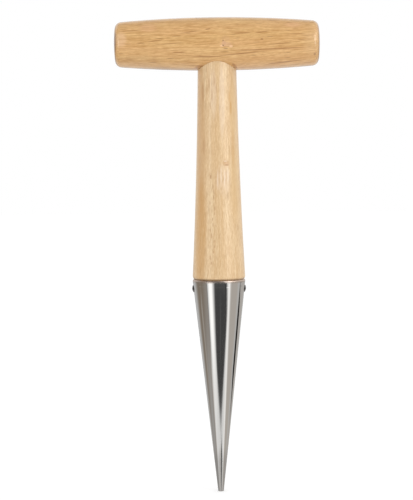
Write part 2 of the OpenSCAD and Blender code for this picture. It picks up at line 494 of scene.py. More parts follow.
@dataclass
class Timber(Effect):
    """The pattern of solid hardwood, whose grain runs along the vector's Z.

    Its outputs, all from 0 to 1, are rings (late wood), streaks, lines (few, long and thin),
    bands (wide), fibres, pores, mottle (small soft patches) and tone (slow changes along the
    board). Widths and lengths of lines, bands and fibres are factors of the streaks' sizes.
    """

    name = "timber"
    vectors = ("vector", "pith")
    numbers = (
        "ring_width", "sway", "lean", "bow", "spread", "taper", "streak_width", "streak_length",
        "fibre_length", "pore_spacing", "pore_length",
    )
    outputs = ("rings", "streaks", "lines", "bands", "fibres", "pores", "mottle", "tone")
    drift_size: Triple = mm(30, 30, 110)
    tone_size: Triple = mm(9, 9, 55)
    tone_range: Range = (0.3, 0.7)
    mottle_size: Triple = mm(2.2, 2.2, 4)
    mottle_range: Range = (0.35, 0.7)
    wobble_size: Triple = mm(14, 14, 200)
    late_wood: Range = (0.35, 0.93)
    year_end: Range = (0.96, 1.0)
    patch_rough: float = 0.5
    strand_rough: float = 0.6
    streak_range: Range = (0.4, 0.74)
    line_width: float = 1.3
    line_length: float = 2.6
    line_range: Range = (0.56, 0.72)
    band_width: float = 3.6
    band_length: float = 4.5
    band_range: Range = (0.3, 0.7)
    fibre_width: float = 0.8
    fibre_range: Range = (0.25, 0.75)
    vessel_edge: Range = (0.1, 0.2)
    vessel_chance: Range = (0.1, 0.9)
    flow: Socket = field(init=False)

    def wire(self) -> None:
        """Fill the group with nodes.

        All outputs but the rings and the pores are noise along the bent grain.
        """
        self.flow = self.bend()
        patchy, stringy = self.patch_rough, self.strand_rough
        line = self.strand(self.line_width, self.line_length)
        band = self.strand(self.band_width, self.band_length)
        fibre = self.strand(self.fibre_width, run="fibre_length")
        for name, size, detail, rough, limits in (
            ("tone", self.tone_size, 2, patchy, self.tone_range),
            ("mottle", self.mottle_size, 2, patchy, self.mottle_range),
            ("streaks", self.strand(), 1, stringy, self.streak_range),
            ("lines", line, 1, stringy, self.line_range),
            ("bands", band, 1, stringy, self.band_range),
            ("fibres", fibre, 2, stringy, self.fibre_range),
        ):
            noise = self.graph.noise(self.flow, size, detail, rough)["Fac"]
            self.graph.feed(self.out[name], self.graph.remap(noise, *limits))
        self.add_rings()
        self.add_pores()

    def bend(self) -> Socket:
        """Bend the coordinates as the tree's growth bent the grain.

        Its sway wanders at random, its lean and bow slant and curve the grain towards X, and
        its spread and taper narrow it along the board.

        Returns:
            The bent coordinates.
        """
        graph, given = self.graph, self.given
        place = given["vector"]
        along = graph.split(place)[2]
        narrow = graph.math("MULTIPLY_ADD", given["taper"], along, given["spread"])
        narrow = graph.math("MULTIPLY_ADD", narrow, along, 1.0)
        flow = graph.vector("MULTIPLY", place, graph.join(narrow, narrow, 1.0))
        drift = graph.noise(place, self.drift_size, detail=1)["Color"]
        drift = graph.vector("SUBTRACT", drift, (0.5, 0.5, 0.5))
        drift = graph.vector("MULTIPLY", drift, graph.join(given["sway"], given["sway"], 0.0))
        slope = graph.math("MULTIPLY_ADD", given["bow"], along, given["lean"])
        slant = graph.join(graph.math("MULTIPLY", slope, along), 0.0, 0.0)
        return graph.vector("ADD", graph.vector("ADD", flow, drift), slant)

    def strand(self, width: float = 1, length: float = 1, run: str = "streak_length") -> Socket:
        """Return the size of a strand, by factors of the streak's width and of a length."""
        wide = self.graph.math("MULTIPLY", self.given["streak_width"], width)
        return self.graph.join(wide, wide, self.graph.math("MULTIPLY", self.given[run], length))

    def add_rings(self) -> None:
        """Add the late wood of the yearly rings round the pith."""
        graph, given = self.graph, self.given
        across = graph.vector("SUBTRACT", self.flow, given["pith"])
        across = graph.vector("MULTIPLY", across, (1, 1, 0))
        reach = graph.math("DIVIDE", graph.vector("LENGTH", across), given["ring_width"])
        uneven = graph.noise(self.flow, self.wobble_size, detail=1)["Fac"]
        year = graph.math("FRACT", graph.math("ADD", reach, uneven))
        late = graph.remap(year, *self.late_wood)
        graph.feed(self.out["rings"], graph.math("MULTIPLY", late, graph.fade(year, *self.year_end)))

    def add_pores(self) -> None:
        """Add the pores: a thin vessel in each cell, darker in some than in others."""
        graph, spacing = self.graph, self.given["pore_spacing"]
        size = graph.join(spacing, spacing, self.given["pore_length"])
        laid = {"Vector": graph.vector("DIVIDE", self.flow, size), "Scale": 1.0}
        cells = graph.add("ShaderNodeTexVoronoi", laid).outputs
        vessel = graph.fade(cells["Distance"], *self.vessel_edge)
        chance = graph.remap(graph.split(cells["Color"])[0], *self.vessel_chance)
        graph.feed(self.out["pores"], graph.math("MULTIPLY", vessel, chance))


@dataclass
class Spot(Effect):
    """A soft-edged spot: its mask is 1 inside, and 0 outside the given radii.

    Its climb is how far it rises along Z for each step along X.
    """

    name = "spot"
    vectors = ("vector", "centre", "radii")
    numbers = ("climb",)
    outputs = ("mask",)
    edge: Range = (0.45, 1.0)

    def wire(self) -> None:
        """Fill the group with nodes."""
        graph, given = self.graph, self.given
        offset = graph.vector("SUBTRACT", given["vector"], given["centre"])
        climb = graph.math("MULTIPLY", graph.split(offset)[0], given["climb"])
        offset = graph.vector("SUBTRACT", offset, graph.join(0.0, 0.0, climb))
        reach = graph.vector("LENGTH", graph.vector("DIVIDE", offset, given["radii"]))
        graph.feed(self.out["mask"], graph.fade(reach, *self.edge))


@dataclass
class Handling(Effect):
    """The marks of use on metal: soft smudges and fine turned lines about Z."""

    name = "handling"
    vectors = ("vector",)
    numbers = ("smudge_size",)
    outputs = ("smudges", "lines")
    smudge_range: Range = (0.35, 0.7)
    line_size: Triple = mm(14, 14, 0.12)

    def wire(self) -> None:
        """Fill the group with nodes."""
        graph, place, size = self.graph, self.given["vector"], self.given["smudge_size"]
        smudges = graph.noise(place, graph.join(size, size, size), detail=4, rough=0.6)["Fac"]
        graph.feed(self.out["smudges"], graph.remap(smudges, *self.smudge_range))
        lines = graph.noise(place, self.line_size, detail=3, rough=0.7)["Fac"]
        graph.feed(self.out["lines"], lines)


# Finishes


FINE_SCALE = {
    "streak_width": 0.9,
    "streak_length": 0.4,
    "fibre_length": 0.5,
    "pore_spacing": 0.5,
    "pore_length": 0.45,
}


@dataclass(frozen=True)
class Mark:
    """A soft spot: its centre, its radii and the colour that it turns the surface to.

    Its climb is how far it rises along Z for each step along X, and its grain is how far
    the wood's fine fibres break it up.
    """

    centre: Triple
    radii: Triple
    colour: Colour
    strength: float
    climb: float = 0.0
    grain: float = 0.0

    def lay(self, surface: Surface, fibres: Value = 0.0) -> None:
        """Lay the mark on a surface.

        Args:
            surface: The surface.
            fibres: The mask of the wood's fibres.
        """
        shape = {"centre": self.centre, "radii": self.radii, "climb": self.climb}
        mask = surface.group(Spot, vector=surface.place, **shape)["mask"]
        if self.grain:
            whole = surface.math("MULTIPLY_ADD", fibres, -self.grain, 1.0)
            mask = surface.math("MULTIPLY", mask, whole)
        surface.lay(mask, self.strength, self.colour)


@dataclass(frozen=True)
class EndGrain:
    """The darker end grain of a turned piece's ends, and a ring of painted shade on their rounded
    edges.

    Lengths are measured from the piece's middle: along the grain, and out from its axis.
    """

    along: Range
    out: Range
    strength: float
    edge_shade_strength: float

    def lay(self, wood: Surface, board: Value, tint: Colour) -> None:
        """Darken both ends as end grain, and lay painted shade in a ring on their rounded edges.

        Args:
            wood: The wood.
            board: The coordinates from the middle, with the grain along Z.
            tint: The colour of the end grain.
        """
        along = wood.math("ABSOLUTE", wood.split(board)[2])
        cut = wood.remap(along, *self.along)
        wood.lay(cut, self.strength, tint)
        # Painted shade: a darker ring on the rounded edge of each end
        out = wood.vector("LENGTH", wood.vector("MULTIPLY", board, (1, 1, 0)))
        ring = wood.math("MULTIPLY", cut, wood.remap(out, *self.out))
        wood.lay(ring, self.edge_shade_strength, tint)


@dataclass(frozen=True)
class TurnedWood:
    """Lacquered hardwood, with a pattern that runs through the piece as in real timber.

    The pattern is placed twice: at its own size, and finer, with its streaks, fibres and
    pores reduced by the fine scale. A field with the name of a part of the pattern, such as
    streak, says how strongly that part colours the wood, from 0 to 1.
    """

    name: str
    grain: Axis
    pith: Triple
    pale: Colour
    dark: Colour
    late_wood: Colour
    blush: Colour
    pore: Colour
    streak: float
    line: float
    band: float
    streak_width: float
    streak_length: float
    short_streak: float
    fibre: float
    mottle: float
    sway: float
    ring_width: float
    ring: float
    lean: float = 0.0
    bow: float = 0.0
    spread: float = 0.0
    taper: float = 0.0
    marks: tuple[Mark, ...] = ()
    centre: Triple = (0, 0, 0)
    ends: EndGrain | None = None
    tone: float = 0.4
    pores: float = 0.75
    fine_pores: float = 0.35
    pore_spacing: float = 1.1 * MM
    pore_length: float = 17 * MM
    fibre_length: float = 3 * MM
    roughness: float = 0.42
    fibres_dull: float = 0.08
    pores_dull: float = 0.2
    coat: float = 0.7
    coat_roughness: float = 0.3
    relief: float = 0.03 * MM
    fibre_relief: float = 0.35
    fine_pore_relief: float = 0.5

    def build(self) -> Material:
        """Make the material.

        Returns:
            The material.
        """
        wood = Surface(self.name, self.pale, self.roughness)
        board = wood.vector("SUBTRACT", wood.place, self.centre)
        if self.grain is Axis.X:
            turned = {"Vector": board, "Rotation": (0, -math.pi / 2, 0)}
            board = wood.add("ShaderNodeMapping", turned).outputs["Vector"]
        coarse = self.pattern(wood, board, {})
        fine = self.pattern(wood, board, FINE_SCALE)
        for mask, strength, tint in (
            (coarse["bands"], self.band, self.blush),
            (coarse["tone"], self.tone, self.blush),
            (coarse["streaks"], self.streak, self.dark),
            (fine["streaks"], self.short_streak, self.dark),
            (coarse["rings"], self.ring, self.late_wood),
            (coarse["lines"], self.line, self.dark),
            (coarse["fibres"], self.fibre, self.dark),
            (coarse["mottle"], self.mottle, self.dark),
            (fine["pores"], self.fine_pores, self.pore),
            (coarse["pores"], self.pores, self.pore),
        ):
            wood.lay(mask, strength, tint)
        for mark in self.marks:
            mark.lay(wood, fine["streaks"])
        if self.ends:
            self.ends.lay(wood, board, self.pore)
        wood.dull(coarse["fibres"], self.fibres_dull)
        wood.dull(coarse["pores"], self.pores_dull)
        wood.shader["Coat Weight"].default_value = self.coat
        wood.shader["Coat Roughness"].default_value = self.coat_roughness
        height = wood.math("MULTIPLY", coarse["fibres"], self.fibre_relief)
        height = wood.math("MULTIPLY_ADD", coarse["pores"], -1.0, height)
        height = wood.math("MULTIPLY_ADD", fine["pores"], -self.fine_pore_relief, height)
        return wood.finish(height, self.relief)

    def pattern(self, wood: Surface, board: Value, scale: dict[str, float]) -> Any:
        """Place the timber pattern, with this wood's sizes times a scale; return its outputs."""
        sizes = {name: getattr(self, name) * scale.get(name, 1.0) for name in Timber.numbers}
        return wood.group(Timber, vector=board, pith=self.pith, **sizes)


@dataclass(frozen=True)
class PolishedSteel:
    """Steel sheet buffed bright, with fine lines round it, smudges and a darker, duller tip.

    The band under the rim is warmer in colour and duller.
    """

    name: str
    rim_z: float
    colour: Colour = (0.75, 0.74, 0.72, 1.0)
    dull_tint: Colour = (0.61, 0.604, 0.595, 1.0)
    tip_range: Range = mm(17.6, 29)
    rim: Colour = (0.6, 0.48, 0.4, 1.0)
    rim_band: float = 2.4 * MM
    rim_full: float = 0.4 * MM
    roughness: float = 0.035
    tip_dull: float = 0.03
    rim_dull: float = 0.36
    smudge_size: float = 18 * MM
    smudge_tint: float = 0.04
    smudge_dull: float = 0.02
    line_depth: float = 0.0002 * MM

    def build(self) -> Material:
        """Make the material.

        Returns:
            The material.
        """
        steel = Surface(self.name, self.colour, self.roughness, metal=1.0)
        used = steel.group(Handling, vector=steel.place, smudge_size=self.smudge_size)
        height = steel.split(steel.place)[2]
        tip = steel.fade(height, *self.tip_range)
        rim = steel.remap(height, self.rim_z - self.rim_band, self.rim_z - self.rim_full)
        for mask, strength, tint, dull in (
            (tip, 1.0, self.dull_tint, self.tip_dull),
            (rim, 1.0, self.rim, self.rim_dull),
            (used["smudges"], self.smudge_tint, self.dull_tint, self.smudge_dull),
        ):
            steel.lay(mask, strength, tint)
            steel.dull(mask, dull)
        return steel.finish(used["lines"], self.line_depth)


@dataclass(frozen=True)
class DarkSteel:
    """The blackened steel of nails, with paler worn patches, which shine a little more."""

    name: str
    colour: Colour = screen(104, 102, 101)
    worn: Colour = screen(160, 157, 153)
    patch_size: float = 1.2 * MM
    wear: float = 0.4
    roughness: float = 0.38
    wear_shine: float = 0.12
    wear_depth: float = 0.02 * MM

    def build(self) -> Material:
        """Make the material.

        Returns:
            The material.
        """
        steel = Surface(self.name, self.colour, self.roughness, metal=1.0)
        used = steel.group(Handling, vector=steel.place, smudge_size=self.patch_size)
        steel.lay(used["smudges"], self.wear, self.worn)
        steel.dull(used["smudges"], -self.wear_shine)
        return steel.finish(used["smudges"], self.wear_depth)


@dataclass(frozen=True)
class Putty:
    """Dried wood putty: pale, matt and a little grainy, with dark specks."""

    name: str
    specks: tuple[Mark, ...]
    colour: Colour = screen(232, 186, 142)
    shade: Colour = screen(205, 158, 114)
    grit_size: Triple = mm(0.5, 0.5, 0.5)
    grit_range: Range = (0.3, 0.7)
    roughness: float = 0.6
    grit_dull: float = 0.15
    grit_depth: float = 0.05 * MM

    def build(self) -> Material:
        """Make the material.

        Returns:
            The material.
        """
        putty = Surface(self.name, self.colour, self.roughness)
        grit = putty.noise(putty.place, self.grit_size, detail=4, rough=0.7)["Fac"]
        grit = putty.remap(grit, *self.grit_range)
        putty.lay(grit, 1.0, self.shade)
        putty.dull(grit, self.grit_dull)
        for speck in self.specks:
            speck.lay(putty)
        return putty.finish(grit, self.grit_depth)


def dress(piece: Piece, material: Material, slot: Slot, node: str) -> None:
    """Give a piece its material and tie it to the frame.

    Args:
        piece: The finished piece.
        material: What it is made of.
        slot: The record's slot for that material; it is not used.
        node: The frame's node that the piece stands for.
    """
    piece.data.materials.clear()
    piece.data.materials.append(material)
    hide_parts(node)
    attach(piece, BODY)
    low, high = (Vector(corner) / MM for corner in (piece.bound_box[0], piece.bound_box[6]))
    LOG.info(
        "%s: %d faces, from (%.1f, %.1f, %.1f) to (%.1f, %.1f, %.1f) mm",
        piece.name, len(piece.data.polygons), *low, *high,
    )


# Pieces


@dataclass
class Crossbar:
    """The T grip: a turned barrel with rounded ends, bored for the tenon and the pin."""

    end_radius: float = 13.35 * MM
    edge_radius: float = 4.2 * MM
    dome_height: float = 1 * MM
    mortise_radius: float = 7.1 * MM
    mortise_depth: float = 23 * MM
    drill_angle: float = math.radians(60)
    pin_radius: float = 0.81 * MM
    mouth_radius: float = 1.31 * MM
    barrel_steps: int = 36
    edge_steps: int = 14
    dome_steps: int = 10
    dark: Colour = screen(150, 92, 34)
    line_depth: float = 8 * MM
    line_half_height: float = 0.42 * MM
    line_grain: float = 0.4
    spot_depth: float = 3 * MM
    length: float = field(init=False)
    radius: float = field(init=False)
    axis_z: float = field(init=False)

    def __post_init__(self) -> None:
        """Take the place and the main sizes from the frame."""
        low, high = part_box("crossbar")
        self.length = high.x - low.x
        self.radius = (high.y - low.y) / 2
        self.axis_z = round((high.z + low.z) / 2, 4)

    @property
    def underside_z(self) -> float:
        """Height of the barrel's underside at its middle."""
        return self.axis_z - self.radius

    def half_outline(self, grow: float) -> Outline:
        """Draw the outline from the middle to one end.

        Args:
            grow: How far the outline is set out from the wood.

        Returns:
            The barrel's long arc, the rounding that touches it and the end's low dome.
        """
        barrel_radius = arc_radius(self.length, self.radius - self.end_radius) + grow
        barrel = Circle(Vector((self.radius + grow - barrel_radius, 0)), barrel_radius)
        dome_radius = arc_radius(2 * self.end_radius, self.dome_height) + grow
        dome = Circle(Vector((0, self.length / 2 + grow - dome_radius)), dome_radius)
        edge_radius = self.edge_radius + grow
        edge = Circle(barrel.shrunk(edge_radius).crossing(dome.shrunk(edge_radius)), edge_radius)
        barrel_end = barrel.heading(edge.centre)
        dome_start = dome.heading(edge.centre)
        return (
            barrel.arc(0, barrel_end, self.barrel_steps)
            + edge.arc(barrel_end, dome_start, self.edge_steps)[1:]
            + dome.arc(dome_start, math.pi / 2, self.dome_steps)[1:]
        )

    def turned(self, name: str, grow: float = 0.0) -> Piece:
        """Turn the solid barrel, before it is bored.

        Args:
            name: The name of the new piece.
            grow: How far it is set out from the wood, where it makes a gap.

        Returns:
            The barrel.
        """
        right = self.half_outline(grow)
        left = [(radius, -along) for radius, along in reversed(right[1:])]
        return Lathe(Axis.X, Vector((0, 0, self.axis_z))).turn(name, left + right)

    def mortise(self) -> Piece:
        """Turn the cutter for the blind hole that takes the stem's tenon.

        Returns:
            The cutter, with the point of a drill.
        """
        start = self.underside_z - CUTTER_OVERRUN
        floor = self.underside_z + self.mortise_depth
        point = floor + self.mortise_radius / math.tan(self.drill_angle)
        bore = [(self.mortise_radius, start), (self.mortise_radius, floor)]
        return Lathe().turn("mortise_cutter", [(0, start), *bore, (0, point)])

    def pin_hole(self) -> Piece:
        """Turn the cutter for the pin's hole.

        Returns:
            The cutter, with a wider mouth at the front.
        """
        low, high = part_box("grip_pin")
        front = self.radius + CUTTER_OVERRUN
        cutter = Lathe(segments=SMALL_SEGMENTS).turn("pin_cutter", [
            (0, -high.y), (self.pin_radius, -high.y), (self.pin_radius, -low.y),
            (self.mouth_radius, -low.y), (self.mouth_radius, front), (0, front),
        ])
        settle(cutter, towards_front((low + high) / 2))
        return cutter

    def build(self) -> Piece:
        """Model the crossbar.

        Returns:
            The bored crossbar.
        """
        piece = self.turned("crossbar_turned")
        work(piece, self.mortise(), Cut.TAKE_AWAY)
        work(piece, self.pin_hole(), Cut.TAKE_AWAY)
        smooth(piece)
        return piece

    def at(self, right: float, back: float, up: float) -> Triple:
        """Return a place from millimetres right of, behind and above the middle."""
        return (right * MM, back * MM, self.axis_z + up * MM)

    def on_front(self, right: float, up: float) -> Triple:
        """Return a place on the front from millimetres right of and above the middle."""
        return self.at(right, -math.sqrt(self.radius ** 2 - (up * MM) ** 2) / MM, up)

    def line(self, right: float, up: float, half: float, climb: float, strength: float) -> Mark:
        """Return a dark line of the grain, by its middle's place and half its length."""
        radii = (half * MM, self.line_depth, self.line_half_height)
        return Mark(self.on_front(right, up), radii, self.dark, strength, climb, self.line_grain)

    def spot(
        self, right: float, up: float, wide: float, tall: float, colour: Colour, strength: float,
        grain: float = 0.0,
    ) -> Mark:
        """Return a small spot, by its place and half its width and its height."""
        radii = (wide * MM, self.spot_depth, tall * MM)
        return Mark(self.on_front(right, up), radii, colour, strength, grain=grain)

    def marks(self) -> tuple[Mark, ...]:
        """List all that sets this piece of wood apart, with the painted shade and highlights laid on
        it. Lengths are in millimetres.

        Returns:
            The marks, each of which lies over the last.
        """
        edge = screen(98, 72, 46)
        shade = screen(140, 104, 66)
        pale = screen(236, 204, 158)
        corner = screen(138, 70, 30)
        sheen = screen(240, 198, 158)
        rosy = screen(232, 178, 132)
        smear = screen(226, 180, 142)
        lump = screen(250, 204, 156)
        speck = screen(128, 78, 44)
        line, spot = self.line, self.spot
        return (
            # Painted shade at the left end's edge and along the lower left, and a painted highlight on
            # the right end
            Mark(self.at(-62.3, -12.8, 3), mm(2.4, 4.4, 15), edge, 0.75),
            Mark(self.on_front(-36, -15.9), mm(26, 9, 2.6), shade, 0.35),
            Mark(self.on_front(-48, -11), mm(20, 9, 5), shade, 0.14, grain=0.3),
            Mark(self.on_front(60, 1), mm(11, 12, 16), pale, 0.2, grain=0.3),
            # Painted shadow in the two corners where the stem meets the bar
            Mark(self.at(-11, -8, -14.4), mm(4.2, 6, 1.7), corner, 0.4, climb=0.3),
            Mark(self.at(10.8, -8, -14.3), mm(2.6, 6, 1.7), corner, 0.45, climb=-0.9),
            # A painted highlight at the left end, partly its paler wood, and two rosy tints
            Mark(self.on_front(-58.3, 2.4), mm(5.5, 8, 7), sheen, 0.5, grain=0.4),
            Mark(self.on_front(-41.4, 9.4), mm(7, 8, 4), rosy, 0.4, grain=0.4),
            Mark(self.on_front(46, 10.5), mm(7, 8, 2.4), rosy, 0.45, grain=0.4),
            # Long lines
            line(right=33.3, up=-4.4, half=27, climb=0.045, strength=0.75),
            line(right=15, up=-6.9, half=17, climb=0.094, strength=0.75),
            line(right=41, up=-11.9, half=17, climb=0.115, strength=0.7),
            line(right=14.8, up=5.3, half=7, climb=0.02, strength=0.75),
            line(right=27, up=5.8, half=5, climb=0.1, strength=0.7),
            line(right=38, up=-1.2, half=9, climb=0.08, strength=0.5),
            line(right=48, up=4.6, half=8, climb=0, strength=0.4),
            line(right=-22.8, up=-6, half=5, climb=0.03, strength=0.7),
            line(right=-36.9, up=1.1, half=6, climb=0.1, strength=0.7),
            line(right=-30, up=-0.9, half=12, climb=0.07, strength=0.5),
            line(right=-52, up=7.3, half=8, climb=0.03, strength=0.5),
            line(right=-6.6, up=-8.5, half=12, climb=0, strength=0.65),
            line(right=-5.3, up=7.9, half=2.2, climb=0.1, strength=0.8),
            line(right=-16, up=6.2, half=9, climb=0.12, strength=0.5),
            # A knot
            spot(27, 1.5, 1.3, 0.7, self.dark, 0.6),
            # The putty smeared round the filled hole, with its lumps and specks
            spot(5.6, -1.5, 4.4, 1.8, smear, 0.5, grain=0.4),
            spot(5.2, 1.8, 3.4, 2.6, smear, 0.2, grain=0.5),
            spot(2.9, -2.4, 1.6, 0.7, lump, 0.9),
            spot(8.4, -2.7, 1.5, 0.9, lump, 0.8),
            spot(3.7, 0.8, 0.55, 0.75, speck, 0.6),
            spot(3.7, -2, 0.6, 0.75, speck, 0.8),
            spot(5.2, -3.9, 1.9, 0.4, speck, 0.6),
            # Dark pores near the right end
            Mark(self.at(58.9, -11.6, -7.5), mm(0.95, 3, 0.95), speck, 0.5),
            spot(55.7, -3.4, 2.6, 0.5, speck, 0.6),
        )

    def dress(self, piece: Piece) -> None:
        """Finish the crossbar in darker, wavy hardwood.

        Args:
            piece: The crossbar.
        """
        half = self.length / 2
        face_radius = self.end_radius - self.edge_radius
        wood = TurnedWood(
            name="crossbar_hardwood",
            grain=Axis.X,
            pith=mm(90, 60, 0),
            pale=screen(244, 202, 138),
            dark=screen(176, 118, 42),
            late_wood=screen(202, 148, 78),
            blush=screen(242, 190, 134),
            pore=screen(134, 84, 30),
            streak=0.38,
            line=0.25,
            band=0.2,
            streak_width=0.58 * MM,
            streak_length=26 * MM,
            short_streak=0.5,
            fibre=0.42,
            mottle=0.05,
            lean=0.045,
            bow=0.3,
            taper=(1 - self.end_radius / self.radius) / half ** 2,
            sway=1.5 * MM,
            ring_width=6.5 * MM,
            ring=0.12,
            marks=self.marks(),
            centre=(0, 0, self.axis_z),
            # Darker end grain, with painted shade on the ends' rounded edges
            ends=EndGrain(
                along=(half - 1.9 * MM, half - 0.9 * MM),
                out=(face_radius - 0.6 * MM, face_radius + 0.8 * MM),
                strength=0.4,
                edge_shade_strength=0.35,
            ),
            coat=1.0,
            coat_roughness=0.16,
        )
        dress(piece, wood.build(), Slot.CROSSBAR_WOOD, "crossbar")


@dataclass
class SteelCone:
    """The hollow cone of polished sheet, with a buffed rim and a blunt welded nose."""

    rim_radius: float = 16.2 * MM
    tip_radius: float = 1.7 * MM
    sheet: float = 1.2 * MM
    rim_round: float = 1 * MM
    tip_round: float = 0.3 * MM
    nose_length: float = 8 * MM
    hole_radius: float = 1 * MM
    side_step: float = 6 * MM
    round_steps: int = 12
    support: float = 0.12 * MM
    score_drop: float = 4.1 * MM
    score_width: float = 0.3 * MM
    score_depth: float = 0.008 * MM
    rim_z: float = field(init=False)

    def __post_init__(self) -> None:
        """Take the height of the rim from the frame."""
        self.rim_z = round(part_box("steel_cone")[1].z, 5)

    @property
    def slope(self) -> float:
        """How much the radius grows with height."""
        return (self.rim_radius - self.tip_radius) / self.rim_z

    @property
    def angle(self) -> float:
        """Angle between the side and the axis."""
        return math.atan(self.slope)

    @property
    def sheet_across(self) -> float:
        """Thickness of the sheet, measured along a radius."""
        return self.sheet / math.cos(self.angle)

    def outer_radius(self, z: float) -> float:
        """Return the radius of the outside at a height above the tip."""
        return self.tip_radius + z * self.slope

    def heights(self, start: float, end: float) -> list[float]:
        """Return heights from one to another, evenly spaced by about the side's step."""
        steps = math.ceil(abs(end - start) / self.side_step)
        return [start + (end - start) * i / steps for i in range(steps + 1)]

    def rounding(self, z: float, radius: float, start: float, end: float) -> Outline:
        """Return the arc between two angles of a rounded edge whose centre is at a height."""
        centre = Vector((self.outer_radius(z) - radius / math.cos(self.angle), z))
        return Circle(centre, radius).arc(start, end, self.round_steps)

    def outside(self) -> Outline:
        """Draw the outline of the outside.

        Returns:
            The points from the tip, past the fine score, to the top of the rim.
        """
        tip = self.rounding(self.tip_round, self.tip_round, -math.pi / 2, -self.angle)
        rim = self.rounding(self.rim_z - self.rim_round, self.rim_round, -self.angle, math.pi / 2)
        score = self.rim_z - self.score_drop
        half = self.score_width / 2
        high = rim[0][1] - self.support
        lower = self.heights(tip[-1][1] + self.support, score - self.score_width)
        upper = [score - half, score, score + half, score + self.score_width, high]
        side = [
            (self.outer_radius(z) - (self.score_depth if z == score else 0), z)
            for z in lower + upper
        ]
        return tip + side + rim

    def inside(self) -> Outline:
        """Return the outline of the hollow, from the rim down to the welded nose."""
        heights = self.heights(self.rim_z, self.nose_length)
        return [(self.outer_radius(z) - self.sheet_across, z) for z in heights]

    def solid(self) -> Piece:
        """Return the outside of the cone as a solid, which cuts what is seated on it."""
        return Lathe().turn("cone_cutter", [(0, 0), *self.outside(), (0, self.rim_z)])

    def build(self, nails: "Nails") -> Piece:
        """Model the cone.

        Args:
            nails: The nails, whose shanks pass through the sheet.

        Returns:
            The hollow cone with its two nail holes.
        """
        outline = [(0, 0), *self.outside(), *self.inside(), (0, self.nose_length)]
        piece = Lathe().turn("cone_polished", outline)
        for side in Side:
            work(piece, nails.drill(side, self.hole_radius), Cut.TAKE_AWAY)
        smooth(piece)
        return piece

    def dress(self, piece: Piece) -> None:
        """Finish the cone in polished steel."""
        steel = PolishedSteel("polished_steel", self.rim_z)
        dress(piece, steel.build(), Slot.POLISHED_STEEL, "steel_cone")


@dataclass
class Nails:
    """The two round-head nails that hold the cone on the stem."""

    cone: SteelCone
    drop: float = 5.9 * MM
    head_radius: float = 2.2 * MM
    head_height: float = 0.95 * MM
    edge_height: float = 0.25 * MM
    shank_radius: float = 0.9 * MM
    length: float = 12 * MM
    point: float = 2.4 * MM
    point_radius: float = 0.2 * MM
    drill_point: float = 0.2
    head_steps: int = 10

    @property
    def z(self) -> float:
        """Height of the nails above the tip."""
        return self.cone.rim_z - self.drop

    def seat(self, side: Side) -> Matrix:
        """Find the place on the steel where a nail sits.

        Args:
            side: The nail's side.

        Returns:
            The place, with +Z straight out.
        """
        out = Matrix.Translation((self.cone.outer_radius(self.z), 0, self.z))
        tilt = Matrix.Rotation(math.pi / 2 + self.cone.angle, 4, "Y")
        return Matrix.Rotation(side.value, 4, "Z") @ out @ tilt

    def turned(self, name: str, outline: Outline, side: Side = Side.RIGHT) -> Piece:
        """Turn a small solid and seat it.

        Args:
            name: The name of the new piece.
            outline: Its outline, with the steel's face at 0.
            side: The side that it goes to.

        Returns:
            The solid in its place.
        """
        piece = Lathe(segments=SMALL_SEGMENTS).turn(name, outline)
        settle(piece, self.seat(side))
        return piece

    def drill(self, side: Side, radius: float) -> Piece:
        """Turn a cutter for a nail's hole.

        Args:
            side: The nail's side.
            radius: The hole's radius.

        Returns:
            The cutter, as deep as the nail, blunt at its point and open outwards.
        """
        return self.turned("nail_drill", [
            (0, -self.length), (radius * self.drill_point, -self.length),
            (radius, self.point - self.length), (radius, CUTTER_OVERRUN), (0, CUTTER_OVERRUN),
        ], side)

    def model(self) -> Piece:
        """Model the right nail.

        Returns:
            The nail: a domed head that fits the curved steel, a shank and a point.
        """
        dome_height = self.head_height - self.edge_height
        dome_radius = arc_radius(2 * self.head_radius, dome_height)
        dome = Circle(Vector((0, self.head_height - dome_radius)), dome_radius)
        top = dome.arc(math.asin(1 - dome_height / dome_radius), math.pi / 2, self.head_steps)
        base = [(0, -CUTTER_OVERRUN), (self.head_radius, -CUTTER_OVERRUN)]
        piece = self.turned("right_nail_driven", base + top)
        work(piece, self.cone.solid(), Cut.TAKE_AWAY)
        shank = self.turned("nail_shank", [
            (0, -self.length), (self.point_radius, -self.length),
            (self.shank_radius, self.point - self.length), (self.shank_radius, self.edge_height),
            (0, self.edge_height),
        ])
        work(piece, shank, Cut.JOIN)
        smooth(piece)
        return piece

    def build(self) -> list[Piece]:
        """Model one nail and copy it, turned half round the stem, to the other side.

        Returns:
            The right nail and the left one.
        """
        right = self.model()
        left = right.copy()
        left.data = right.data.copy()
        left.name = "left_nail_driven"
        bpy.context.scene.collection.objects.link(left)
        settle(left, Matrix.Rotation(Side.LEFT.value, 4, "Z"))
        return [right, left]

    def dress(self, pieces: list[Piece]) -> None:
        """Finish both nails, the right one and the left one, in blackened steel.

        Args:
            pieces: The nails.
        """
        steel = DarkSteel("nail_steel").build()
        for piece, node in zip(pieces, ("right_nail", "left_nail")):
            dress(piece, steel, Slot.NAIL_STEEL, node)


